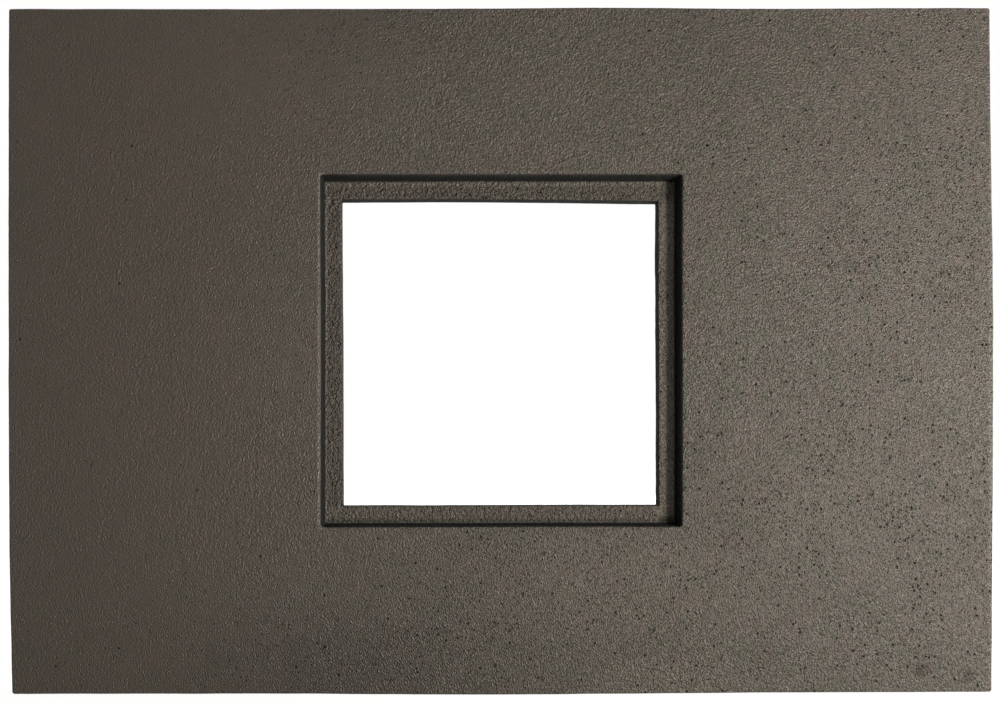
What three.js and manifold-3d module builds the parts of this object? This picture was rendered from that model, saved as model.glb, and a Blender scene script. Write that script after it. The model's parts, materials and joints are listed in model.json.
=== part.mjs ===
// Fireback: one flat sand-cast iron slab that stands on its long edge. A nearly square opening runs
// through its middle, and a stepped rebate round the opening leaves a ledge for a loose insert.
//
// Millimetres, +Z up. The origin is the middle of the bottom of the slab's box. The front, which
// holds the rebate, faces -Y, the flat back faces +Y, and X runs along the slab's length.
import * as THREE from "three";
import { mergeVertices } from "three/addons/utils/BufferGeometryUtils.js";
import Module from "manifold-3d";

// ---- Driving dimensions ----

// The slab, over everything.
const SLAB_LENGTH = 500;
const SLAB_HEIGHT = 350;
const SLAB_THICKNESS = 15;
const SLAB_CORNER_RADIUS = 1.5;
const FRONT_ARRIS_RADIUS = 0.8;
const BACK_ARRIS_RADIUS = 0.5;

// The rebate, measured across its rim in the plane of the front face.
const REBATE_LENGTH = 185;
const REBATE_HEIGHT = 180;
const REBATE_DEPTH = 9;
const REBATE_CORNER_RADIUS = 1.5;
const REBATE_DRAFT_DEGREES = 5;
const REBATE_FLOOR_FILLET = 2;
const RIM_ARRIS_RADIUS = 0.8;

// The ledge that the insert sits on, from the rebate's rim to the opening, seen from the front.
const LEDGE_WIDTH = 10;
const OPENING_CORNER_RADIUS = 0.4;
const OPENING_ARRIS_RADIUS = 0.3;

// How finely round edges are cut, and how far a cutting tool runs past the iron.
const STEPS_PER_CORNER = 5;
const STEPS_PER_ROUNDING = 4;
const SHARPEST_CORNER_RADIUS = 0.3;
const CUT_OVERRUN = 2;

const CAST_IRON = { color: 0x58534a, roughness: 0.7, metalness: 0.35 };

// ---- Sizes that follow ----

const ledgeThickness = SLAB_THICKNESS - REBATE_DEPTH;
const openingLength = REBATE_LENGTH - 2 * LEDGE_WIDTH;
const openingHeight = REBATE_HEIGHT - 2 * LEDGE_WIDTH;
const quarterTurn = Math.PI / 2;

const wasm = await Module();
wasm.setup();

// ---- Lofted blocks ----

// A rounded rectangle round the origin, anticlockwise seen from +Z, with the same number of points
// at any size.
function roundedRectangle(length, height, radius) {
  const towardsCorner = [[1, 1], [-1, 1], [-1, -1], [1, -1]];
  return towardsCorner.flatMap(([x, y], corner) => {
    const centreX = x * (length / 2 - radius);
    const centreY = y * (height / 2 - radius);
    const from = corner * quarterTurn;
    return new THREE.EllipseCurve(centreX, centreY, radius, radius, from, from + quarterTurn)
      .getPoints(STEPS_PER_CORNER);
  });
}

// A closed block with a rounded-rectangle section whose size changes along +Z. The profile is a
// path of points (inset, z) from the lowest to the highest: inset is how far the section has drawn
// in from length by height, and is negative where it flares out.
function loft(length, height, cornerRadius, profile) {
  const levels = profile.getPoints(STEPS_PER_ROUNDING);
  const rings = levels.map(({ x: inset }) => roundedRectangle(
    length - 2 * inset,
    height - 2 * inset,
    Math.max(cornerRadius - inset, SHARPEST_CORNER_RADIUS),
  ));
  const perRing = rings[0].length;
  const positions = rings.flatMap((ring, level) => ring.flatMap(({ x, y }) => [x, y, levels[level].y]));

  const triangles = [];
  for (let level = 0; level + 1 < rings.length; level += 1) {
    for (let i = 0; i < perRing; i += 1) {
      const a = level * perRing + i;
      const b = level * perRing + ((i + 1) % perRing);
      triangles.push(a, b, b + perRing, a, b + perRing, a + perRing);
    }
  }
  const topRing = (rings.length - 1) * perRing;
  for (const [a, b, c] of THREE.ShapeUtils.triangulateShape(rings[0], [])) triangles.push(c, b, a);
  for (const [a, b, c] of THREE.ShapeUtils.triangulateShape(rings[rings.length - 1], [])) {
    triangles.push(topRing + a, topRing + b, topRing + c);
  }

  const geometry = new THREE.BufferGeometry();
  geometry.setAttribute("position", new THREE.Float32BufferAttribute(positions, 3));
  geometry.setIndex(triangles);
  return geometry;
}

// ---- The three blocks: the slab, and the two cutting tools ----
// They lie flat, with the slab's back face at z = 0 and its front face at z = SLAB_THICKNESS.

// The slab has a rounded arris all round its back face and another round its front face.
function slabBlock() {
  const profile = new THREE.Path()
    .absarc(BACK_ARRIS_RADIUS, BACK_ARRIS_RADIUS, BACK_ARRIS_RADIUS, -quarterTurn, Math.PI, true)
    .absarc(
      FRONT_ARRIS_RADIUS, SLAB_THICKNESS - FRONT_ARRIS_RADIUS, FRONT_ARRIS_RADIUS,
      Math.PI, quarterTurn, true,
    );
  return loft(SLAB_LENGTH, SLAB_HEIGHT, SLAB_CORNER_RADIUS, profile);
}

// The rebate's tool starts on the ledge, turns up through the floor fillet into the drafted wall,
// and flares out over the rounded rim.
function rebateTool() {
  const draft = THREE.MathUtils.degToRad(REBATE_DRAFT_DEGREES);
  const insetAt = (z) => (SLAB_THICKNESS - z) * Math.tan(draft);

  // Both roundings touch the drafted wall, so their centres lie one radius off its line.
  const filletZ = ledgeThickness + REBATE_FLOOR_FILLET;
  const filletInset = insetAt(filletZ) + REBATE_FLOOR_FILLET / Math.cos(draft);
  const rimZ = SLAB_THICKNESS - RIM_ARRIS_RADIUS;
  const rimInset = insetAt(rimZ) - RIM_ARRIS_RADIUS / Math.cos(draft);

  const profile = new THREE.Path()
    .absarc(filletInset, filletZ, REBATE_FLOOR_FILLET, -quarterTurn, -Math.PI + draft, true)
    .absarc(rimInset, rimZ, RIM_ARRIS_RADIUS, draft, quarterTurn, false)
    .lineTo(rimInset, SLAB_THICKNESS + CUT_OVERRUN);
  return loft(REBATE_LENGTH, REBATE_HEIGHT, REBATE_CORNER_RADIUS, profile);
}

// The opening's tool runs straight through the ledge and flares out over both of its arrises.
function openingTool() {
  const profile = new THREE.Path()
    .moveTo(-OPENING_ARRIS_RADIUS, -CUT_OVERRUN)
    .absarc(-OPENING_ARRIS_RADIUS, OPENING_ARRIS_RADIUS, OPENING_ARRIS_RADIUS, -quarterTurn, 0, false)
    .absarc(
      -OPENING_ARRIS_RADIUS, ledgeThickness - OPENING_ARRIS_RADIUS, OPENING_ARRIS_RADIUS,
      0, quarterTurn, false,
    )
    .lineTo(-OPENING_ARRIS_RADIUS, ledgeThickness + CUT_OVERRUN);
  return loft(openingLength, openingHeight, OPENING_CORNER_RADIUS, profile);
}

// ---- Joining and cutting ----

function solid(geometry) {
  const merged = mergeVertices(geometry, 1e-5);
  return new wasm.Manifold(new wasm.Mesh({
    numProp: 3,
    vertProperties: merged.attributes.position.array,
    triVerts: new Uint32Array(merged.index.array),
  }));
}

function geometryOf(manifold) {
  const { vertProperties, triVerts } = manifold.getMesh();
  const geometry = new THREE.BufferGeometry();
  geometry.setAttribute("position", new THREE.BufferAttribute(vertProperties, 3));
  geometry.setIndex(new THREE.BufferAttribute(triVerts, 1));
  return geometry;
}

// ---- The part ----

const casting = solid(slabBlock()).subtract(solid(rebateTool())).subtract(solid(openingTool()));

// The slab is stood up: its front turns from +Z to -Y, and its bottom edge comes down to z = 0.
const firebackPlate = new THREE.Mesh(geometryOf(casting), new THREE.MeshStandardMaterial(CAST_IRON));
firebackPlate.name = "fireback_plate";
firebackPlate.rotation.x = quarterTurn;
firebackPlate.position.set(0, SLAB_THICKNESS / 2, SLAB_HEIGHT / 2);

const fireback = new THREE.Group();
fireback.name = "fireback";
fireback.add(firebackPlate);

export default fireback;
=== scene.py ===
# The looks of a cast-iron fireback plate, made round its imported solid.
#
# One closed mesh stands for the casting. It keeps the solid's sizes and adds what a sand mould
# leaves on iron: edges that aren't quite straight, an uneven skin, pits and worn corners. The finer
# grain, the colours and the gloss come from one node material.
import json
import math

import bpy
import numpy as np
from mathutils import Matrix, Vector


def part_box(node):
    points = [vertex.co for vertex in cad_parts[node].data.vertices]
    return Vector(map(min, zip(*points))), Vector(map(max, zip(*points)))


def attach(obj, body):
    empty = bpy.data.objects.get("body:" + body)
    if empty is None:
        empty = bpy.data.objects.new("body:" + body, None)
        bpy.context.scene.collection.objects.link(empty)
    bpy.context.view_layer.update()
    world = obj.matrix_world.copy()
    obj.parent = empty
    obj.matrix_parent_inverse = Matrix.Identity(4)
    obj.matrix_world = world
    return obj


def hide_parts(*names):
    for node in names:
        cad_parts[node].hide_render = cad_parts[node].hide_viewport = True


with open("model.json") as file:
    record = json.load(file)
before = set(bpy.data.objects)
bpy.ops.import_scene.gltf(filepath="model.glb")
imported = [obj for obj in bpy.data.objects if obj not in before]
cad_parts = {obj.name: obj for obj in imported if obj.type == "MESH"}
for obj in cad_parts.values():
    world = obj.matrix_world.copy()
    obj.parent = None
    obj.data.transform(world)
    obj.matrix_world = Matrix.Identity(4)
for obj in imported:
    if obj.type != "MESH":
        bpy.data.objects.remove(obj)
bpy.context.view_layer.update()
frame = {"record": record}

MM = 0.001

# ---- Sizes, in millimetres ----

# The slab's box comes from the frame, and the ledge's depth from the seat that the record states.
low, high = (np.array(corner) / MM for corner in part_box("fireback_plate"))
LENGTH, THICKNESS, HEIGHT = high - low
MIDDLE_X, _, MIDDLE_Z = (low + high) / 2
FRONT_Y = low[1]
seat = next(mount for mount in frame["record"]["mounts"] if mount["name"] == "insert_seat")
LEDGE_DEPTH = seat["pos_m"][1] / MM - FRONT_Y

SLAB_CORNER_RADII = (1.5, 1.4, 1.2, 1.3)
FRONT_ARRIS = 0.8
BACK_ARRIS = 0.5

# The rebate, across its rim, and the opening inside its ledge. Corners run from the bottom left
# one anticlockwise, seen from the front, and no two of them are quite alike.
RIM_HALF_LENGTH = 92.5
RIM_HALF_HEIGHT = 90.0
RIM_ARRIS = 0.8
RIM_CORNER_RADII = (2.0, 1.5, 1.6, 1.3)
SHARPEST_CORNER = 0.3
WALL_DRAFT = math.radians(5)
FLOOR_FILLET = 2.0
LEDGE_WIDTH = 10.0
OPENING_ARRIS = 0.3
OPENING_CORNER_RADIUS = 0.4

# How far each edge lies off its straight line, as (place along the edge, offset) pairs. Both are
# measured from the middle of the plate, and the offsets are positive towards +X or +Z.
SLAB_EDGES = {
    "left": ((-175, 1.1), (-135, 0.2), (-100, -0.4), (-40, -0.7), (80, -0.8), (175, -0.6)),
    "right": (
        (-175, 0.6), (-106, 0.8), (-45, 1.2), (-15, 1.4), (16, 1.4), (46, 0.9), (77, 0.2), (107, -0.1),
        (175, -0.5),
    ),
    "bottom": (
        (-250, 0.1), (-204, 0.25), (-122, 0.6), (-82, 0.2), (0, -0.3), (40, 0.0), (122, 0.65),
        (163, 1.0), (250, 1.2),
    ),
    "top": (
        (-250, -0.5), (-204, -0.5), (-122, -0.8), (-41, -0.45), (0, -0.05), (40, 0.25), (81, -0.05),
        (122, -0.4), (250, -0.05),
    ),
}
RIM_EDGES = {
    "left": ((-90, 0.85), (90, 0.65)),
    "right": ((-90, 0.2), (90, 0.2)),
    "bottom": ((-92, 0.15), (92, 0.4)),
    "top": ((-92, 0.1), (92, 0.25)),
}
OPENING_EDGES = {
    "left": ((-80, 1.45), (80, 0.8)),
    "right": ((-80, 0.85), (80, 0.55)),
    "bottom": ((-82, 0.3), (82, 0.6)),
    "top": ((-82, -0.4), (-30, -0.2), (30, -0.5), (82, -1.1)),
}

# How far these offsets are felt: inwards from the slab's edges, outwards from the rim's, and
# outwards from the opening's, where they give way to the rim's.
SLAB_EDGE_REACH = 60.0
RIM_EDGE_REACH = 40.0
OPENING_EDGE_REACH = 8.0

# The mesh: cells of the front face, and the closer lines beside its edges.
CELL = 1.8
SUPPORT = np.array([0.0, 0.5, 1.2, 2.2])
BACK_SUPPORT = 1.2

# ---- The skin, in millimetres from the middle of the front face ----

# What the mould leaves: how high, and the length of its waves. Each kind is a sum of plane waves,
# and the spread is the range of their lengths, as shares of the kind's own.
WAVES = 28
WAVE_SPREAD = (0.7, 1.4)
RELIEF_FINE, RELIEF_FINE_WAVE = 0.012, 5.5
RELIEF_FINE_LEDGE = 0.03
RELIEF_FINE_BACK = 0.04
RELIEF_SWELL, RELIEF_SWELL_WAVE = 0.03, 26
RELIEF_WARP, RELIEF_WARP_WAVE = 0.10, 130
RELIEF_EDGE, RELIEF_EDGE_WAVE = 0.07, 14

# Pits come in drifts. PITTING is for the material's small ones, which get more to the right. The
# large ones and those in the mesh get more to the lower right: their rise is over x less the lean
# times z.
DRIFT_LENGTH = 38
DRIFT_RANGE = (-1.6, 1.6)
PITTING_LEAST = 0.05
PITTING_MOST = 0.85
PITTING_RISE = (-260, 120)
PITTING_DRIFT = 0.3
PITS_LEAN = 0.7
LARGE_PITS_RISE = (-80, 290)
LARGE_PITS_LEAST = 0.006
LARGE_PITS_MOST = 0.8
LARGE_PITS_DRIFT = 0.5
MESH_PITS_RISE = (-130, 260)
MESH_PITS_LEAST = 0.0004
MESH_PITS_MOST = 0.018
MESH_PITS_DRIFTS = (-1.4, 1.6)
LEDGE_PITS = 0.03
BACK_PITS = 0.02
BACK_DRIFT_LENGTH = 60
BACK_DRIFT_RANGE = (-1.0, 2.0)

# How strong the sand's grain is, beside the left side's, and over which x it changes.
GRAIN_MIDDLE = 1.4
GRAIN_MIDDLE_RISE = (-200, 20)
GRAIN_RIGHT = 1.15
GRAIN_RIGHT_FALL = (60, 190)

# Single marks on the face, as (x, z): the largest pits.
MARKED_PITS = (
    (145.4, 102.9), (105.2, 105.4), (124.0, 97.3), (243.7, 2.5), (-16.5, -139.0), (8.9, -138.5),
    (4.9, -141.6), (-22.6, -146.2), (-187.1, 104.4),
)

# Soft oval patches of the face, each as (x, z) of its middle, its half length and half height, and
# its strength: dark smudges, and stretches of painted light and of painted shade. The core is the
# share of a patch's size that is full.
SMUDGES = (
    ((215.2, -162.4), (6.8, 4.0), 1.0),
    ((239.6, -165.0), (4.6, 3.3), 1.0),
)
LIGHT_PATCHES = (
    ((71, -119), (97, 38), 0.09),
    ((147, -71), (51, 56), 0.05),
    ((82, -168), (46, 20), 0.1),
)
SHADE_PATCHES = (
    ((-76, -172), (110, 62), 0.26),
    ((-60, 176), (75, 40), 0.13),
    ((110, 176), (80, 80), 0.13),
)
SMUDGE_CORE = 0.3
PATCH_CORE = 0.1
PATCH_END = 1.1

# How strong the painted highlight is on the foot of the top wall and on the slab's right arris, beside
# the rim's left arris.
FOOT_TOP = 0.5
SLAB_ARRIS_HIGHLIGHT = 0.4

# How dark the painted shade at the foot of the bottom wall is, and how strong the ledge's painted
# light:
# on the right beside the opening and beside the wall, in its upper right corner beside the rest, and
# along the bottom.
FOOT_SHADE = 0.45
RIGHT_PALE = 0.42
RIGHT_PALEST = 1.0
CORNER_PALE = 0.3
BOTTOM_PALE = 0.12

# Where one stretch of the surface gives way to the next, as the two places between which it does.
# Elsewhere it does so within BLEND. These are outwards from the rim.
BLEND = 1
FACE_STARTS = (-0.2, 0.8)
RIM_STARTS = (-0.3, 0.0)
RIM_ENDS = (0.3, 0.7)
FOOT_STARTS = (-3.6, -2.8)
RIGHT_PALEST_STARTS = (-8.4, -6.6)
WALL_SIDE = 4

# These are down from the front face. What lies higher than FACE_DEPTH is the face.
ARRIS_FADE = (0.5, 1.2)
WALL_STARTS = (0.2, 0.9)
LEDGE_STARTS = (LEDGE_DEPTH - 0.65, LEDGE_DEPTH - 0.15)
BORE_STARTS = (LEDGE_DEPTH + 0.02, LEDGE_DEPTH + 0.25)
EDGE_BLEND = (0.1, 2.0)
FACE_DEPTH = 1.0

# And these are heights above the middle.
UPPER_CORNER = (RIM_HALF_HEIGHT - LEDGE_WIDTH - 4, RIM_HALF_HEIGHT - LEDGE_WIDTH + 2)
LOWER_CORNER = (3.5 - RIM_HALF_HEIGHT, 6.5 - RIM_HALF_HEIGHT)


# ---- Smooth random fields ----

def ripple(points, wavelength, seed):
    """A random field with a spread of 1: plane waves of about one length, in every direction."""
    draw = np.random.default_rng(seed)
    directions = draw.normal(size=(WAVES, 3))
    directions /= np.linalg.norm(directions, axis=1, keepdims=True)
    lengths = wavelength * draw.uniform(*WAVE_SPREAD, WAVES)
    phases = draw.uniform(0, 2 * math.pi, WAVES)
    angles = points @ (directions * (2 * math.pi / lengths)[:, None]).T + phases
    return np.cos(angles).sum(axis=1) * math.sqrt(2 / WAVES)


def ease(value, start, stop):
    """0 up to start, 1 from stop on, and a smooth step between them."""
    part = np.clip((value - start) / (stop - start), 0, 1)
    return part * part * (3 - 2 * part)


# ---- The mesh's own tools ----
# Points are (x, depth behind the front face, height above the plate's middle), in millimetres.

class Skin:
    """The points and faces of one closed surface, gathered part by part."""

    def __init__(self):
        self.blocks = []
        self.count = 0
        self.faces = []
        self.pits = []

    def add(self, x, depth, z, pit=0.0):
        """Adds points and returns their numbers, in the shape of the coordinates."""
        x, depth, z, pit = np.broadcast_arrays(x, depth, z, pit)
        self.blocks.append(np.stack([x.ravel(), depth.ravel(), z.ravel()], axis=1))
        self.pits.append(pit.ravel())
        numbers = self.count + np.arange(x.size).reshape(x.shape)
        self.count += x.size
        return numbers

    def points(self):
        return np.concatenate(self.blocks)

    def pit_depths(self):
        return np.concatenate(self.pits)

    def add_faces(self, corners):
        self.faces.extend(np.asarray(corners).tolist())


def grid_lines(hole, edge):
    """Lines across a face from -edge to edge, closer together beside its hole and its edge."""
    inside = np.linspace(0, hole - SUPPORT[-1], math.ceil((hole - SUPPORT[-1]) / CELL) + 1)
    band = edge - hole - 2 * SUPPORT[-1]
    outside = np.linspace(hole + SUPPORT[-1], edge - SUPPORT[-1], 2 * math.ceil(band / CELL / 2) + 1)
    half = np.concatenate([
        inside, hole - SUPPORT[-2:0:-1], [hole], hole + SUPPORT[1:-1], outside, edge - SUPPORT[-2::-1],
    ])
    return np.concatenate([-half[:0:-1], half])


def rounded_side(lines, half_along, half_across, start_radius, end_radius):
    """One side of a rounded rectangle, from the middle of a corner to just before the next one."""
    along = lines[:-1]
    radius = np.where(along < 0, start_radius, end_radius)
    straight = lines[-1] - SUPPORT[-1]
    reach = np.minimum(np.abs(along), straight) / straight
    turn = np.clip((np.abs(along) - straight) / SUPPORT[-1], 0, 1) * math.pi / 4
    return (
        np.sign(along) * (reach * (half_along - radius) + radius * np.sin(turn)),
        half_across - radius + radius * np.cos(turn),
    )


def rounded_loop(lines_x, lines_z, half_x, half_z, radii):
    """Points round a rounded rectangle, one for each line's end, anticlockwise from the bottom left."""
    bottom_left, bottom_right, top_right, top_left = radii
    bottom_x, bottom_z = rounded_side(lines_x, half_x, half_z, bottom_left, bottom_right)
    right_z, right_x = rounded_side(lines_z, half_z, half_x, bottom_right, top_right)
    top_x, top_z = rounded_side(lines_x, half_x, half_z, top_right, top_left)
    left_z, left_x = rounded_side(lines_z, half_z, half_x, top_left, bottom_left)
    x = np.concatenate([bottom_x, right_x, -top_x, -left_x])
    z = np.concatenate([-bottom_z, right_z, top_z, -left_z])
    return x, z


def edge_loop(numbers, first_i, last_i, first_j, last_j):
    """The numbers round a rectangle of a grid, in the order of rounded_loop."""
    return np.concatenate([
        numbers[first_i:last_i, first_j],
        numbers[last_i, first_j:last_j],
        numbers[last_i:first_i:-1, last_j],
        numbers[first_i, last_j:first_j:-1],
    ])


def face_with_hole(skin, lines_x, lines_z, hole_x, hole_z, depth, outline, hole_outline):
    """A flat face as a grid with a rectangular hole, its two outlines moved onto given loops.
    Returns its cells, its outer loop and its hole's loop. The cells face the front."""
    x, z = np.meshgrid(lines_x, lines_z, indexing="ij")
    first_i, last_i = np.flatnonzero(np.isclose(np.abs(lines_x), hole_x))
    first_j, last_j = np.flatnonzero(np.isclose(np.abs(lines_z), hole_z))
    kept = np.ones(x.shape, bool)
    kept[first_i + 1:last_i, first_j + 1:last_j] = False

    places = np.arange(x.size).reshape(x.shape)
    outer = edge_loop(places, 0, len(lines_x) - 1, 0, len(lines_z) - 1)
    inner = edge_loop(places, first_i, last_i, first_j, last_j)
    x.flat[outer], z.flat[outer] = outline
    x.flat[inner], z.flat[inner] = hole_outline

    numbers = np.full(x.shape, -1)
    numbers[kept] = skin.add(x[kept], depth, z[kept])
    cells = np.stack([numbers[:-1, :-1], numbers[1:, :-1], numbers[1:, 1:], numbers[:-1, 1:]], axis=-1)
    whole = (cells >= 0).all(axis=-1)
    return cells[whole], numbers.flat[outer], numbers.flat[inner]


def band(first, second):
    """The cells between two loops. Seen with the first loop on top, they face outwards."""
    return np.stack([first, second, np.roll(second, -1), np.roll(first, -1)], axis=1)


def thinning_band(fine, coarse):
    """Triangles between a loop and one with half as many points, facing as a band's cells do."""
    even, odd, after = fine[0::2], fine[1::2], np.roll(fine, -2)[0::2]
    following = np.roll(coarse, -1)
    return np.concatenate([
        np.stack([even, coarse, odd], axis=1),
        np.stack([odd, coarse, following], axis=1),
        np.stack([odd, following, after], axis=1),
    ])


def arc(centre, radius, start, stop, steps):
    """An arc of a profile as (inset, depth) points. Angles run from the inset axis to the depth."""
    return [
        (centre[0] + radius * math.cos(angle), centre[1] + radius * math.sin(angle))
        for angle in np.linspace(start, stop, steps + 1)
    ]


def between(start, stop, steps):
    """The points that cut a straight stretch of a profile into steps, without its ends."""
    shares = np.linspace(0, 1, steps + 1)[1:-1]
    return [tuple(np.add(start, share * np.subtract(stop, start))) for share in shares]


# ---- Profiles, from the front face to the back face ----

QUARTER = math.pi / 2

# How many steps each round or straight stretch has.
FRONT_ARRIS_STEPS = 4
SIDE_STEPS = 6
BACK_ARRIS_STEPS = 3
RIM_STEPS = 4
WALL_STEPS = 4
FILLET_STEPS = 5
LEDGE_STEPS = 5
OPENING_ARRIS_STEPS = 2
BORE_STEPS = 3


def slab_profile():
    """Over the front arris, along the slab's side and over the back arris; inset from the outline."""
    front_centre = (FRONT_ARRIS, FRONT_ARRIS)
    front = arc(front_centre, FRONT_ARRIS, -QUARTER, -math.pi, FRONT_ARRIS_STEPS)
    back_centre = (BACK_ARRIS, THICKNESS - BACK_ARRIS)
    back = arc(back_centre, BACK_ARRIS, math.pi, QUARTER, BACK_ARRIS_STEPS)
    return front + between(front[-1], back[0], SIDE_STEPS) + back


def rebate_profile():
    """Over the rim, down the drafted wall, round the fillet, across the ledge and through the
    opening to the back; inset from the rim's outline towards the middle."""
    def inset_at(depth):
        return depth * math.tan(WALL_DRAFT)

    rim_inset = inset_at(RIM_ARRIS) - RIM_ARRIS / math.cos(WALL_DRAFT)
    rim = arc((rim_inset, RIM_ARRIS), RIM_ARRIS, -QUARTER, -WALL_DRAFT, RIM_STEPS)

    fillet_depth = LEDGE_DEPTH - FLOOR_FILLET
    fillet_inset = inset_at(fillet_depth) + FLOOR_FILLET / math.cos(WALL_DRAFT)
    fillet_centre = (fillet_inset, fillet_depth)
    fillet = arc(fillet_centre, FLOOR_FILLET, math.pi - WALL_DRAFT, QUARTER, FILLET_STEPS)

    arris_inset = LEDGE_WIDTH - OPENING_ARRIS
    front_centre = (arris_inset, LEDGE_DEPTH + OPENING_ARRIS)
    front = arc(front_centre, OPENING_ARRIS, -QUARTER, 0, OPENING_ARRIS_STEPS)
    back_centre = (arris_inset, THICKNESS - OPENING_ARRIS)
    back = arc(back_centre, OPENING_ARRIS, 0, QUARTER, OPENING_ARRIS_STEPS)
    return (
        rim + between(rim[-1], fillet[0], WALL_STEPS)
        + fillet + between(fillet[-1], front[0], LEDGE_STEPS)
        + front + between(front[-1], back[0], BORE_STEPS) + back
    )


def rebate_corner_radii(inset):
    """The rebate's corners get sharper down its wall; on the ledge they ease to the opening's."""
    if inset >= LEDGE_WIDTH / 2:
        return (OPENING_CORNER_RADIUS,) * 4
    return tuple(max(radius - inset, SHARPEST_CORNER) for radius in RIM_CORNER_RADII)


# ---- Pits ----

# A pit has a ring of points at its mouth and one at its waist. Its radius is in millimetres. The
# rest are shares: of its cell's width, of its radius or depth, or of its bottom's darkness. Only
# a cell whose sides are all longer than ROOMY_CELL gets a pit.
RING = 8
PIT_RADIUS = (0.26, 0.72)
PIT_WIDEST_SHARE = 0.4
PIT_ROOM_SHARE = 0.46
PIT_UNEVEN = 0.15
PIT_DEPTH_SHARE = (0.7, 1.2)
PIT_WAIST_RADIUS = 0.7
PIT_WAIST_DEPTH = 0.55
# A pit's darkness is painted shade in its colour.
PIT_MOUTH_DARK = 0.15
ROOMY_CELL = 1.3


def add_pits(skin, cells, radii, depths, seed):
    """Replaces each four-cornered cell with a small round pit that fits inside it."""
    draw = np.random.default_rng(seed)
    points = skin.points()
    corners = points[cells]
    across = (corners[:, 1] + corners[:, 2] - corners[:, 0] - corners[:, 3]) / 2
    up = (corners[:, 3] + corners[:, 2] - corners[:, 0] - corners[:, 1]) / 2
    width = np.linalg.norm(across, axis=1)
    height = np.linalg.norm(up, axis=1)
    across /= width[:, None]
    up /= height[:, None]
    inwards = np.cross(up, across)

    radii = np.minimum(radii, PIT_WIDEST_SHARE * np.minimum(width, height))
    room = PIT_ROOM_SHARE * np.minimum(width, height) - radii
    shift = draw.uniform(-1, 1, (len(cells), 2)) * room[:, None]
    centre = corners.mean(axis=1) + across * shift[:, :1] + up * shift[:, 1:]

    angles = np.arange(RING) * 2 * math.pi / RING
    uneven = 1 + PIT_UNEVEN * draw.uniform(-1, 1, (len(cells), RING))
    spokes = (
        np.cos(angles)[None, :, None] * across[:, None] + np.sin(angles)[None, :, None] * up[:, None]
    ) * (radii[:, None] * uneven)[:, :, None]

    mouth = centre[:, None] + spokes
    waist_depth = (PIT_WAIST_DEPTH * depths[:, None] * inwards)[:, None]
    waist = centre[:, None] + PIT_WAIST_RADIUS * spokes + waist_depth
    bottom = centre + depths[:, None] * inwards
    mouth = skin.add(mouth[..., 0], mouth[..., 1], mouth[..., 2], pit=PIT_MOUTH_DARK)
    waist = skin.add(waist[..., 0], waist[..., 1], waist[..., 2], pit=1.0)
    bottom = skin.add(bottom[:, 0], bottom[:, 1], bottom[:, 2], pit=1.0)

    # A cell's first corner lies five eighths of a turn round, and the next ones a quarter further.
    for corner in range(4):
        nearest = (5 + 2 * corner) % RING
        before, after = nearest - 1, (nearest + 1) % RING
        here, following = cells[:, corner], cells[:, (corner + 1) % 4]
        skin.add_faces(np.stack([here, mouth[:, nearest], mouth[:, before]], axis=1))
        skin.add_faces(np.stack([here, mouth[:, after], mouth[:, nearest]], axis=1))
        skin.add_faces(np.stack([here, following, mouth[:, after]], axis=1))
    for step in range(RING):
        after = (step + 1) % RING
        side = [mouth[:, step], mouth[:, after], waist[:, after], waist[:, step]]
        skin.add_faces(np.stack(side, axis=1))
        skin.add_faces(np.stack([waist[:, step], waist[:, after], bottom], axis=1))


def strew_pits(skin, cells, share, seed):
    """Gives pits to some of the cells: share is each cell's chance of one. Returns the other cells."""
    draw = np.random.default_rng(seed)
    pitted = draw.uniform(size=len(cells)) < share
    smallest, largest = PIT_RADIUS
    radii = smallest + (largest - smallest) * draw.uniform(size=pitted.sum()) ** 2
    radii = np.where(share[pitted] < 1, radii, largest)
    depths = radii * draw.uniform(*PIT_DEPTH_SHARE, pitted.sum())
    add_pits(skin, cells[pitted], radii, depths, seed + 1)
    return cells[~pitted]


# ---- The casting ----

def pull_edges(points, half_x, half_z, edges, weight):
    """Moves points by how far a rectangle's four edges lie off their lines, blended across it."""
    x, z = points[:, 0].copy(), points[:, 2].copy()
    across = np.clip(x / half_x, -1, 1) / 2 + 0.5
    up = np.clip(z / half_z, -1, 1) / 2 + 0.5
    left, right = (np.interp(z, *zip(*edges[side])) for side in ("left", "right"))
    bottom, top = (np.interp(x, *zip(*edges[side])) for side in ("bottom", "top"))
    points[:, 0] += weight * (left * (1 - across) + right * across)
    points[:, 2] += weight * (bottom * (1 - up) + top * up)


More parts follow.
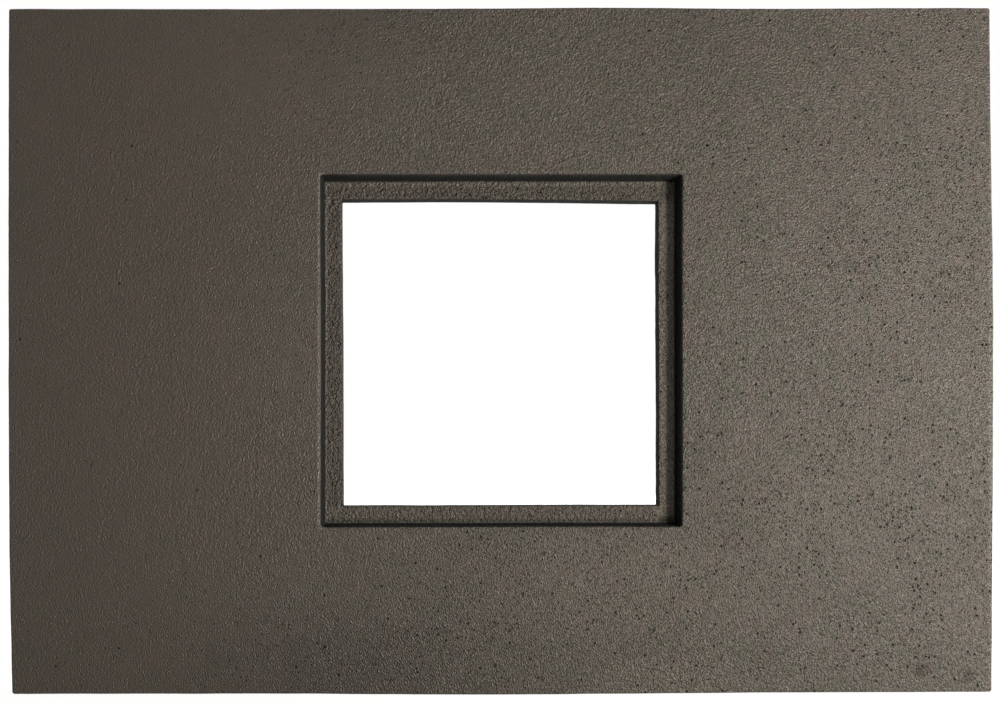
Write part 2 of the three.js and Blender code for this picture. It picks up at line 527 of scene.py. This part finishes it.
def casting_skin():
    """The whole surface of the casting, closed, before its relief."""
    skin = Skin()
    half_x, half_z = LENGTH / 2, HEIGHT / 2
    profile = rebate_profile()
    flare = profile[0][0]
    hole_x, hole_z = RIM_HALF_LENGTH - flare, RIM_HALF_HEIGHT - flare
    lines_x = grid_lines(hole_x, half_x - FRONT_ARRIS)
    lines_z = grid_lines(hole_z, half_z - FRONT_ARRIS)
    first_i, last_i = np.flatnonzero(np.isclose(np.abs(lines_x), hole_x))
    first_j, last_j = np.flatnonzero(np.isclose(np.abs(lines_z), hole_z))
    hole_lines_x, hole_lines_z = lines_x[first_i:last_i + 1], lines_z[first_j:last_j + 1]

    def slab_loop(inset):
        radii = tuple(max(radius - inset, SHARPEST_CORNER) for radius in SLAB_CORNER_RADII)
        return rounded_loop(lines_x, lines_z, half_x - inset, half_z - inset, radii)

    def rebate_loop(inset):
        radii = rebate_corner_radii(inset)
        return rounded_loop(
            hole_lines_x, hole_lines_z, RIM_HALF_LENGTH - inset, RIM_HALF_HEIGHT - inset, radii,
        )

    front, outer, inner = face_with_hole(
        skin, lines_x, lines_z, hole_x, hole_z, 0.0, slab_loop(FRONT_ARRIS), rebate_loop(flare),
    )

    # Round the slab's side to the back.
    for inset, depth in slab_profile()[1:]:
        x, z = slab_loop(inset)
        following = skin.add(x, depth, z)
        skin.add_faces(band(outer, following))
        outer = following

    # Down the rebate, across the ledge and through the opening to the back.
    ledge = []
    for (_, previous_depth), (inset, depth) in zip(profile, profile[1:]):
        x, z = rebate_loop(inset)
        following = skin.add(x, depth, z)
        cells = band(following, inner)
        if previous_depth == depth:
            ledge.append(cells)
        else:
            skin.add_faces(cells)
        inner = following

    # The back face has half as many lines as the front one.
    x, z = slab_loop(BACK_ARRIS + BACK_SUPPORT)
    outline = x[::2], z[::2]
    x, z = rebate_loop(LEDGE_WIDTH - OPENING_ARRIS - BACK_SUPPORT)
    hole_outline = x[::2], z[::2]
    back_hole_x, back_hole_z = hole_outline[0].max(), hole_outline[1].max()
    back_x = np.interp(
        lines_x[::2], [lines_x[0], -hole_x, hole_x, lines_x[-1]],
        [-outline[0].max(), -back_hole_x, back_hole_x, outline[0].max()],
    )
    back_z = np.interp(
        lines_z[::2], [lines_z[0], -hole_z, hole_z, lines_z[-1]],
        [-outline[1].max(), -back_hole_z, back_hole_z, outline[1].max()],
    )
    back, back_outer, back_inner = face_with_hole(
        skin, back_x, back_z, back_hole_x, back_hole_z, THICKNESS, outline, hole_outline,
    )
    skin.add_faces(thinning_band(outer, back_outer))
    skin.add_faces(thinning_band(inner, back_inner)[:, ::-1])

    add_surface(skin, front, face_pit_share)
    add_surface(skin, np.concatenate(ledge), ledge_pit_share)
    add_surface(skin, back[:, ::-1], back_pit_share)
    return skin


# ---- How the skin differs from place to place ----

def face_drifts(x, z):
    """Where the front's pits gather."""
    return ripple(np.stack([x, 0 * x, z], axis=1), DRIFT_LENGTH, seed=11)


def pitting(x, z):
    """How many small pits the material has, from 0 to 1."""
    drift = 1 - PITTING_DRIFT + PITTING_DRIFT * ease(face_drifts(x, z), *DRIFT_RANGE)
    return PITTING_LEAST + (PITTING_MOST - PITTING_LEAST) * (ease(x, *PITTING_RISE) * drift)


def large_pit_share(x, z):
    """How many of the material's places for a large pit have one, from 0 to 1."""
    reach = ease(x - PITS_LEAN * z, *LARGE_PITS_RISE)
    drift = 1 - LARGE_PITS_DRIFT + LARGE_PITS_DRIFT * ease(face_drifts(x, z), *DRIFT_RANGE)
    return LARGE_PITS_LEAST + LARGE_PITS_MOST * reach * drift


def grain_strength(x):
    """The sand's grain is strongest across the middle and weakest on the left."""
    middle = (GRAIN_MIDDLE - 1) * ease(x, *GRAIN_MIDDLE_RISE)
    return 1 + middle + (GRAIN_RIGHT - GRAIN_MIDDLE) * ease(x, *GRAIN_RIGHT_FALL)


def face_pit_share(x, z):
    """The chance of a pit in each cell of the front. The cell at each marked place has one."""
    reach = ease(x - PITS_LEAN * z, *MESH_PITS_RISE)
    share = MESH_PITS_LEAST + MESH_PITS_MOST * reach * ease(face_drifts(x, z), *MESH_PITS_DRIFTS)
    for mark_x, mark_z in MARKED_PITS:
        share[np.argmin(np.hypot(x - mark_x, z - mark_z))] = 1
    return share


def ledge_pit_share(x, z):
    return np.full(x.shape, LEDGE_PITS)


def back_pit_share(x, z):
    drifts = ripple(np.stack([x, 0 * x, z], axis=1), BACK_DRIFT_LENGTH, seed=12)
    return BACK_PITS * ease(drifts, *BACK_DRIFT_RANGE)


def add_surface(skin, cells, share):
    """Adds cells as faces, with pits in some of those that are large and square enough."""
    corners = skin.points()[cells]
    sides = np.linalg.norm(corners - np.roll(corners, -1, axis=1), axis=2)
    roomy = sides.min(axis=1) > ROOMY_CELL
    middle = corners.mean(axis=1)[roomy]
    kept = strew_pits(skin, cells[roomy], share(middle[:, 0], middle[:, 2]), seed=len(cells))
    skin.add_faces(kept)
    skin.add_faces(cells[~roomy])


def beyond_rim(x, z):
    """How far each point lies outside the rim's rectangle, negative inside it."""
    return np.maximum(np.abs(x) - RIM_HALF_LENGTH, np.abs(z) - RIM_HALF_HEIGHT)


def relief(points):
    """How far the mould left each point off its surface, outwards, in millimetres."""
    x, depth, z = points.T
    off_rim = beyond_rim(x, z)
    outside = ease(off_rim, -BLEND, BLEND)
    bore = 1 - ease(off_rim, -LEDGE_WIDTH, 2 * BLEND - LEDGE_WIDTH)
    near, far = EDGE_BLEND
    edge = ease(depth, near, far) * (1 - ease(depth, THICKNESS - far, THICKNESS - near)) * outside
    back = ease(depth, THICKNESS - BLEND, THICKNESS) * (1 - bore)
    ledge = (1 - outside) * (1 - bore) * ease(depth, BLEND, 2 * BLEND)
    fine = RELIEF_FINE + RELIEF_FINE_LEDGE * ledge + RELIEF_FINE_BACK * back
    return (
        fine * ripple(points, RELIEF_FINE_WAVE, seed=1)
        + RELIEF_SWELL * ripple(points, RELIEF_SWELL_WAVE, seed=2)
        + RELIEF_WARP * ripple(points, RELIEF_WARP_WAVE, seed=3)
        + RELIEF_EDGE * edge * ripple(points, RELIEF_EDGE_WAVE, seed=4)
    )


def patches(x, z, places, core):
    """Soft oval patches, full inside a share of their size that is called the core."""
    field = np.zeros(x.shape)
    for (centre_x, centre_z), (half_length, half_height), strength in places:
        off = np.hypot((x - centre_x) / half_length, (z - centre_z) / half_height)
        field = np.maximum(field, strength * (1 - ease(off, core, PATCH_END)))
    return field


def beside_wall(along, half):
    """1 at the wall that stands half off the middle, and at its foot."""
    return ease(along, half - WALL_SIDE, half - WALL_SIDE + BLEND)


def on_ledge(along, half):
    """1 on the stretch of the ledge below the wall that stands half off the middle."""
    return ease(along, half - LEDGE_WIDTH - BLEND, half - LEDGE_WIDTH + BLEND)


def stored_fields(points, depths, pit_depths):
    """What the material needs to know at each point, from 0 to 1 but for the grain's strength."""
    x, z = points[:, 0], points[:, 2]
    off_rim = beyond_rim(x, z)
    in_rebate = 1 - ease(off_rim, *FACE_STARTS)
    before_back = 1 - ease(depths, THICKNESS - BACK_ARRIS, THICKNESS)
    down_fillet = ease(depths, *LEDGE_STARTS)
    arris = 1 - ease(depths, *ARRIS_FADE)

    # The rebate's walls and the opening's bore get painted shade, near black.
    wall = in_rebate * ease(depths, *WALL_STARTS) * (1 - down_fillet)
    bore = in_rebate * ease(depths, *BORE_STARTS) * before_back
    ledge = in_rebate * down_fillet * (1 - bore) * before_back

    # The rim's arris gets a painted highlight on the left, and so does the foot of the left wall and,
    # less, that of the top wall. The slab's own arris gets one on the right.
    left_side, top_side = beside_wall(-x, RIM_HALF_LENGTH), beside_wall(z, RIM_HALF_HEIGHT)
    rim = ease(off_rim, *RIM_STARTS) * (1 - ease(off_rim, *RIM_ENDS)) * arris
    foot = ledge * ease(off_rim, *FOOT_STARTS)
    slab_arris = ease(x, LENGTH / 2 - 2 * FRONT_ARRIS, LENGTH / 2 - FRONT_ARRIS) * arris
    highlight_foot = foot * np.maximum(left_side, FOOT_TOP * top_side)
    painted_highlight = np.maximum(np.maximum(rim * left_side, highlight_foot), slab_arris * SLAB_ARRIS_HIGHLIGHT)

    # Painted shade darkens the foot of the bottom wall. Painted light brightens the ledge, most on the
    # right beside the wall there, over the wall's shadow, but not in its corners.
    shaded_foot = FOOT_SHADE * foot * beside_wall(-z, RIM_HALF_HEIGHT)
    right_painted_light = RIGHT_PALE + (RIGHT_PALEST - RIGHT_PALE) * ease(off_rim, *RIGHT_PALEST_STARTS)
    below_corner = 1 - ease(z, *UPPER_CORNER)
    above_corner = ease(z, *LOWER_CORNER)
    right_painted_light = right_painted_light * (CORNER_PALE + (1 - CORNER_PALE) * below_corner) * above_corner
    right_painted_light = right_painted_light * on_ledge(x, RIM_HALF_LENGTH)
    ledge_painted_light = ledge * np.maximum(right_painted_light, BOTTOM_PALE * on_ledge(-z, RIM_HALF_HEIGHT))

    on_face = depths < FACE_DEPTH
    return {
        "pit": pit_depths,
        "wall": np.maximum(np.maximum(wall, bore), shaded_foot),
        "ledge": ledge,
        "painted_highlight": painted_highlight,
        "smudge": patches(x, z, SMUDGES, SMUDGE_CORE) * arris,
        "painted_light": np.where(on_face, patches(x, z, LIGHT_PATCHES, PATCH_CORE), ledge_painted_light),
        "painted_shade": np.where(on_face, patches(x, z, SHADE_PATCHES, PATCH_CORE), 0),
        "pitting": pitting(x, z),
        "large_pits": large_pit_share(x, z),
        "grain": grain_strength(x),
    }


def make_casting(material):
    """The casting's mesh object, with what its material needs to know stored at each point."""
    skin = casting_skin()
    points = skin.points()
    slab_edge = np.maximum(np.abs(points[:, 0]) - LENGTH / 2, np.abs(points[:, 2]) - HEIGHT / 2)
    pull_edges(
        points, LENGTH / 2, HEIGHT / 2, SLAB_EDGES, ease(slab_edge, -SLAB_EDGE_REACH, 0),
    )
    off_rim = beyond_rim(points[:, 0], points[:, 2])
    towards_rim = ease(off_rim, -LEDGE_WIDTH, OPENING_EDGE_REACH - LEDGE_WIDTH)
    near_rim = towards_rim * (1 - ease(off_rim, 0, RIM_EDGE_REACH))
    pull_edges(points, RIM_HALF_LENGTH, RIM_HALF_HEIGHT, RIM_EDGES, near_rim)
    opening_x, opening_z = RIM_HALF_LENGTH - LEDGE_WIDTH, RIM_HALF_HEIGHT - LEDGE_WIDTH
    pull_edges(points, opening_x, opening_z, OPENING_EDGES, 1 - towards_rim)

    mesh = bpy.data.meshes.new("fireback_casting")
    mesh.from_pydata((points * MM).tolist(), [], skin.faces)
    mesh.update()
    normals = np.empty(len(points) * 3)
    mesh.vertices.foreach_get("normal", normals)
    depths = points[:, 1].copy()
    points += relief(points)[:, None] * normals.reshape(-1, 3)
    placed = points + np.array([MIDDLE_X, FRONT_Y, MIDDLE_Z])
    mesh.vertices.foreach_set("co", (placed * MM).ravel())
    mesh.shade_smooth()
    mesh.update()

    for name, values in stored_fields(points, depths, skin.pit_depths()).items():
        attribute = mesh.attributes.new(name, "FLOAT", "POINT")
        attribute.data.foreach_set("value", values.astype(np.float32))

    mesh.materials.append(material)
    casting = bpy.data.objects.new("fireback_casting", mesh)
    bpy.context.scene.collection.objects.link(casting)
    return casting


# ---- Node trees ----

# The material's smallest pit beside its largest, and how much of a pit's radius is flat bottom.
SMALLEST_PIT = 0.4
PIT_FLAT = 0.2


class Nodes:
    """Adds nodes to one tree. Each method returns the new node's output socket."""

    def __init__(self, tree):
        self.tree = tree
        tree.nodes.clear()

    def add(self, kind, inputs=None, output=0, **settings):
        node = self.tree.nodes.new("ShaderNode" + kind)
        for name, value in settings.items():
            setattr(node, name, value)
        for name, value in (inputs or {}).items():
            if isinstance(value, bpy.types.NodeSocket):
                self.tree.links.new(value, node.inputs[name])
            else:
                node.inputs[name].default_value = value
        return node.outputs[output] if node.outputs else None

    def math(self, operation, first, second):
        return self.add("Math", {0: first, 1: second}, operation=operation)

    def total(self, *values):
        result = values[0]
        for value in values[1:]:
            result = self.math("ADD", result, value)
        return result

    def product(self, *values):
        result = values[0]
        for value in values[1:]:
            result = self.math("MULTIPLY", result, value)
        return result

    def stored(self, name):
        """A number that the mesh stores at each point."""
        return self.add("Attribute", output="Fac", attribute_name=name)

    def largest(self, *values):
        result = values[0]
        for value in values[1:]:
            result = self.math("MAXIMUM", result, value)
        return result

    def step(self, value, start, stop):
        """A smooth step from 0 at start to 1 at stop."""
        return self.add(
            "MapRange", {"Value": value, "From Min": start, "From Max": stop},
            interpolation_type="SMOOTHSTEP",
        )

    def noise(self, place, size, detail=2.0):
        """Cloudy noise from 0 to 1 whose lumps measure about size, in metres."""
        return self.add("TexNoise", {"Vector": place, "Scale": 1 / size, "Detail": detail})

    def crystals(self, place, size):
        """A random value from 0 to 1 for each of the irregular cells that fill space."""
        colour = self.add("TexVoronoi", {"Vector": place, "Scale": 1 / size}, output="Color")
        return self.add("SeparateColor", {"Color": colour}, output="Blue")

    def pits(self, place, spacing, radius, share):
        """Round pits, 1 in their middle and 0 between them. Points lie about spacing apart, and a
        share of them has a pit, of up to radius."""
        points = {"Vector": place, "Scale": 1 / spacing}
        distance = self.add("TexVoronoi", points, output="Distance")
        colour = distance.node.outputs["Color"]
        chance = self.add("SeparateColor", {"Color": colour}, output="Red")
        size = chance.node.outputs["Green"]
        reach = self.math("MULTIPLY_ADD", size, (1 - SMALLEST_PIT) * radius / spacing)
        reach.node.inputs[2].default_value = SMALLEST_PIT * radius / spacing
        depth = self.step(distance, reach, self.product(reach, PIT_FLAT))
        return self.product(depth, self.math("LESS_THAN", chance, share))

    def mix(self, factor, first, second):
        """A colour between two others. The sockets are numbered, as several share a name."""
        return self.add("Mix", {0: factor, 6: first, 7: second}, output=2, data_type="RGBA")


# ---- The iron ----

# Colours, linear. The bare iron goes from IRON_LEFT to IRON, with clouds of olive and brown. The
# shift from a redder left to more olive on the right is a painted tint of the sheen that falls on the
# right.
IRON = (0.104, 0.088, 0.076, 1)
IRON_LEFT = (0.1065, 0.088, 0.076, 1)
IRON_OLIVE = (0.098, 0.090, 0.066, 1)
IRON_BROWN = (0.115, 0.088, 0.077, 1)
# IRON_DARK is the near black of painted shade.
IRON_DARK = (0.009, 0.0085, 0.008, 1)
# IRON_PAINTED_LIGHT is the colour of painted light.
IRON_PAINTED_LIGHT = (0.36, 0.305, 0.255, 1)
# IRON_HIGHLIGHT is the colour of painted highlights and glints.
IRON_HIGHLIGHT = (0.27, 0.235, 0.2, 1)
IRON_SMUDGED = (0.045, 0.028, 0.023, 1)

# The sizes of clouds, specks and beads, in millimetres. A range is the two values of the noise
# between which a thing goes from nothing to full.
OLIVE_SIZE, OLIVE_RANGE = 7, (0.42, 0.62)
OLIVE_LEAST = 0.35
BROWN_SIZE, BROWN_RANGE = 11, (0.5, 0.68)
SPECK_SIZE = 0.6
SHADE_SPECKS, SHADE_SPECK_RANGE = 0.4, (0.5, 0.1)
GLINT_SPECKS, GLINT_SPECK_RANGE = 0.22, (0.5, 0.9)
BEAD_RANGE = (0.35, 0.6)
BLOTCH_SIZE, BLOTCH_RANGE = 1.6, (0.25, 0.45)

# The grain is stretched along a slant. Heights and depths are in millimetres.
GRAIN_SIZE = 0.7
GRAIN_HEIGHT = 0.54
GRAIN_STRETCH = 0.85
GRAIN_SLANT = math.radians(-55)
COARSE_SIZE = 1.8
COARSE_HEIGHT = 2.3
LEDGE_GRAIN_HEIGHT = 0.4
# The darkness of the grain's valleys and of the pits is painted shade.
VALLEY_RANGE = (0.42, 0.22)
VALLEY_DARK = 0.5
SMALL_SPACING = 1.1
SMALL_RADIUS = 0.6
SMALL_DEPTH = 0.55
SMALL_DARK = 0.6
LARGE_SPACING = 3.6
LARGE_RADIUS = 1.0
LARGE_DEPTH = 0.5
LARGE_DARK = 1.0

GLOSS_CLOUD_SIZE = 20
ROUGHNESS = (0.37, 0.43)
ROUGHER_RIGHT = 0.15
CAVITY_ROUGHNESS = 1.0
SPECULAR = 0.45


def iron_height(nodes, place, grain, small, large):
    """The height of the skin, in millimetres."""
    ledge = nodes.stored("ledge")
    coarse = nodes.noise(place, COARSE_SIZE * MM)
    return nodes.total(
        nodes.product(grain, nodes.stored("grain"), GRAIN_HEIGHT),
        nodes.product(small, -SMALL_DEPTH),
        nodes.product(large, -LARGE_DEPTH),
        nodes.product(coarse, ledge, COARSE_HEIGHT),
        nodes.product(grain, ledge, LEDGE_GRAIN_HEIGHT),
    )


def iron_colour(nodes, place, slanted, grain, dark):
    """The bare iron's colour in soft clouds, with painted light, painted shade, painted highlights and
    smudged places, fine specks of painted glint and shade that get stronger to the right, and painted
    shade, near black, in cavities, on the rebate's walls and bore and at the bottom wall's foot."""
    share = nodes.stored("pitting")
    olive = nodes.step(nodes.noise(place, OLIVE_SIZE * MM), *OLIVE_RANGE)
    brown = nodes.step(nodes.noise(place, BROWN_SIZE * MM), *BROWN_RANGE)
    colour = nodes.mix(share, IRON_LEFT, IRON)
    colour = nodes.mix(nodes.product(olive, nodes.largest(share, OLIVE_LEAST)), colour, IRON_OLIVE)
    colour = nodes.mix(brown, colour, IRON_BROWN)
    # Painted light on the ledge and in patches of the face.
    colour = nodes.mix(nodes.stored("painted_light"), colour, IRON_PAINTED_LIGHT)
    # Painted shade in patches of the face.
    colour = nodes.mix(nodes.stored("painted_shade"), colour, IRON_DARK)

    # Fine specks of painted glint and of painted shade, the more where there is more pitting, so most
    # on the right where the sheen falls.
    specks = nodes.crystals(slanted, SPECK_SIZE * MM)
    shade_specks = nodes.product(nodes.step(specks, *SHADE_SPECK_RANGE), share, SHADE_SPECKS)
    glint_specks = nodes.product(nodes.step(specks, *GLINT_SPECK_RANGE), share, GLINT_SPECKS)
    colour = nodes.mix(shade_specks, colour, IRON_DARK)
    colour = nodes.mix(glint_specks, colour, IRON_HIGHLIGHT)
    # Painted highlights, in beads, on the rim's left arris, the walls' feet and the slab's right arris.
    beads = nodes.step(grain, *BEAD_RANGE)
    colour = nodes.mix(nodes.product(nodes.stored("painted_highlight"), beads), colour, IRON_HIGHLIGHT)
    blotches = nodes.step(nodes.noise(place, BLOTCH_SIZE * MM, detail=1.0), *BLOTCH_RANGE)
    colour = nodes.mix(nodes.product(nodes.stored("smudge"), blotches), colour, IRON_SMUDGED)
    return nodes.mix(dark, colour, IRON_DARK)


def iron_roughness(nodes, place, dark):
    """Satin in soft clouds, rougher to the right, and dull in cavities, on the walls and bore and at
    the bottom wall's foot, where the colour has painted shade.
    """
    cloud = nodes.noise(place, GLOSS_CLOUD_SIZE * MM)
    least, most = ROUGHNESS
    satin = nodes.add("MapRange", {"Value": cloud, "To Min": least, "To Max": most})
    satin = nodes.math("ADD", satin, nodes.product(nodes.stored("pitting"), ROUGHER_RIGHT))
    return nodes.total(satin, nodes.product(dark, nodes.math("SUBTRACT", CAVITY_ROUGHNESS, satin)))


def iron_material():
    material = bpy.data.materials.new("cast_iron_skin")
    material.use_nodes = True
    nodes = Nodes(material.node_tree)
    place = nodes.add("TexCoord", output="Object")
    slant = {"Vector": place, "Rotation": (0, GRAIN_SLANT, 0), "Scale": (1, 1, GRAIN_STRETCH)}
    slanted = nodes.add("Mapping", slant)

    grain = nodes.noise(slanted, GRAIN_SIZE * MM, detail=0.0)
    share = nodes.stored("pitting")
    small = nodes.pits(slanted, SMALL_SPACING * MM, SMALL_RADIUS * MM, share)
    large_share = nodes.stored("large_pits")
    large = nodes.pits(place, LARGE_SPACING * MM, LARGE_RADIUS * MM, large_share)
    # Painted shade: the grain's valleys, the pits, the mesh's pits, the rebate's walls, the bore and
    # the bottom wall's foot go towards near black.
    valleys = nodes.product(nodes.step(grain, *VALLEY_RANGE), share, VALLEY_DARK)
    small_dark, large_dark = nodes.product(small, SMALL_DARK), nodes.product(large, LARGE_DARK)
    cavities = nodes.largest(small_dark, large_dark, valleys, nodes.stored("pit"))
    dark = nodes.largest(cavities, nodes.stored("wall"))

    height = iron_height(nodes, place, grain, small, large)
    look = {
        "Base Color": iron_colour(nodes, place, slanted, grain, dark),
        "Roughness": iron_roughness(nodes, place, dark),
        "Normal": nodes.add("Bump", {"Strength": 1.0, "Distance": MM, "Height": height}),
        "Specular IOR Level": SPECULAR,
    }
    nodes.add("OutputMaterial", {"Surface": nodes.add("BsdfPrincipled", look)})
    return material


# ---- The camera ----

# Where the photograph shows the plate, in pixels of its 1000 x 703 frame, and the pixel that the
# camera is square to.
PHOTO_WIDTH, PHOTO_HEIGHT = 1000, 703
PLATE_CENTRE = (500.45, 351.0)
PIXELS_PER_MM = 1.9637
SQUARE_ON = (420, 437)
CAMERA_DISTANCE = 415.0
SENSOR = 36.0
CLIP_START = 0.01


def add_camera():
    data = bpy.data.cameras.new("camera")
    camera = bpy.data.objects.new("camera", data)
    bpy.context.scene.collection.objects.link(camera)
    right = (SQUARE_ON[0] - PLATE_CENTRE[0]) / PIXELS_PER_MM
    above = (PLATE_CENTRE[1] - SQUARE_ON[1]) / PIXELS_PER_MM
    camera.location = (right * MM, (FRONT_Y - CAMERA_DISTANCE) * MM, (MIDDLE_Z + above) * MM)
    camera.rotation_euler = (math.pi / 2, 0, 0)
    data.sensor_width = SENSOR
    data.lens = CAMERA_DISTANCE * PIXELS_PER_MM / PHOTO_WIDTH * SENSOR
    data.shift_x = (PHOTO_WIDTH / 2 - SQUARE_ON[0]) / PHOTO_WIDTH
    data.shift_y = (SQUARE_ON[1] - PHOTO_HEIGHT / 2) / PHOTO_WIDTH
    data.clip_start = CLIP_START
    bpy.context.scene.camera = camera


# ---- Light and stage ----

# What the world gives to diffuse light, and to reflections in what faces the camera's side: a dim
# room. Behind the plate and in the picture itself it is white.
AMBIENT = 0.125

# The key softbox stands low on the right, and the rear one lights the back. Places and sizes are in
# metres.
KEY_PLACE = (0.7, -0.7, 0.1)
KEY_SIZE = (0.4, 0.2)
KEY_RADIANCE = 39.0
KEY_COLOUR = (1.0, 0.99, 0.90)
REAR_PLACE = (0.6, 1.1, 0.8)
REAR_SIZE = (0.8, 0.8)
REAR_RADIANCE = 6.0

# The floor glows less near the plate: the glow's reach is from its middle, in metres.
FLOOR_ALBEDO = 0.8
FLOOR_GLOW_NEAR = 0.86
FLOOR_GLOW_FAR = 1.0
FLOOR_GLOW_REACH = (0.5, 1.1)
FLOOR_SIZE = 8


def add_softbox(name, place, target, size, radiance, colour=(1, 1, 1)):
    """A rectangular area light of one radiance, wherever it stands."""
    data = bpy.data.lights.new(name, "AREA")
    data.shape = "RECTANGLE"
    data.size, data.size_y = size
    data.energy = radiance * size[0] * size[1] * math.pi
    data.color = colour
    light = bpy.data.objects.new(name, data)
    light.location = place
    aim = Vector(target) - Vector(place)
    light.rotation_euler = aim.to_track_quat("-Z", "Y").to_euler()
    bpy.context.scene.collection.objects.link(light)


def shows_white(nodes, coordinates, start, stop):
    """1 for the camera, through glass, and in reflections from behind the plate: there Y goes
    from start to stop. 0 for all other light."""
    rays = nodes.tree.nodes.new("ShaderNodeLightPath").outputs
    place = nodes.add("TexCoord", output=coordinates)
    behind = nodes.step(nodes.add("SeparateXYZ", {"Vector": place}, output="Y"), start, stop)
    reflected = nodes.product(rays["Is Glossy Ray"], behind)
    return nodes.largest(rays["Is Camera Ray"], rays["Is Transmission Ray"], reflected)


def make_world():
    """White in the picture and behind the plate, and a dim room for all other light."""
    world = bpy.data.worlds.new("studio")
    bpy.context.scene.world = world
    world.use_nodes = True
    nodes = Nodes(world.node_tree)
    strength = nodes.largest(shows_white(nodes, "Generated", 0.0, 0.2), AMBIENT)
    background = nodes.add("Background", {"Color": (1, 1, 1, 1), "Strength": strength})
    nodes.add("OutputWorld", {"Surface": background})


def make_floor():
    """A pale floor that shows as white, but for the plate's soft shadow."""
    material = bpy.data.materials.new("floor_white")
    material.use_nodes = True
    nodes = Nodes(material.node_tree)
    seen = shows_white(nodes, "Object", 0.0, 0.1)
    place = nodes.add("TexCoord", output="Object")
    distance = nodes.add("VectorMath", {0: place}, output="Value", operation="LENGTH")
    glow = nodes.step(distance, *FLOOR_GLOW_REACH)
    glow.node.inputs["To Min"].default_value = FLOOR_GLOW_NEAR
    glow.node.inputs["To Max"].default_value = FLOOR_GLOW_FAR
    lit = nodes.add("BsdfDiffuse", {"Color": (FLOOR_ALBEDO, FLOOR_ALBEDO, FLOOR_ALBEDO, 1)})
    glowing = nodes.add("Emission", {"Color": (1, 1, 1, 1), "Strength": nodes.product(seen, glow)})
    nodes.add("OutputMaterial", {"Surface": nodes.add("AddShader", {0: lit, 1: glowing})})
    bpy.ops.mesh.primitive_plane_add(size=FLOOR_SIZE, location=(0, 0, 0))
    floor = bpy.context.object
    floor.name = "floor"
    floor.data.materials.append(material)


# ---- Everything together ----

bpy.context.scene.view_settings.view_transform = "Standard"
add_camera()
make_world()
make_floor()
plate_middle = (0.0, 0.0, MIDDLE_Z * MM)
add_softbox("key_softbox", KEY_PLACE, plate_middle, KEY_SIZE, KEY_RADIANCE, KEY_COLOUR)
add_softbox("rear_softbox", REAR_PLACE, plate_middle, REAR_SIZE, REAR_RADIANCE)

casting = make_casting(iron_material())
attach(casting, "root")
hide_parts("fireback_plate")
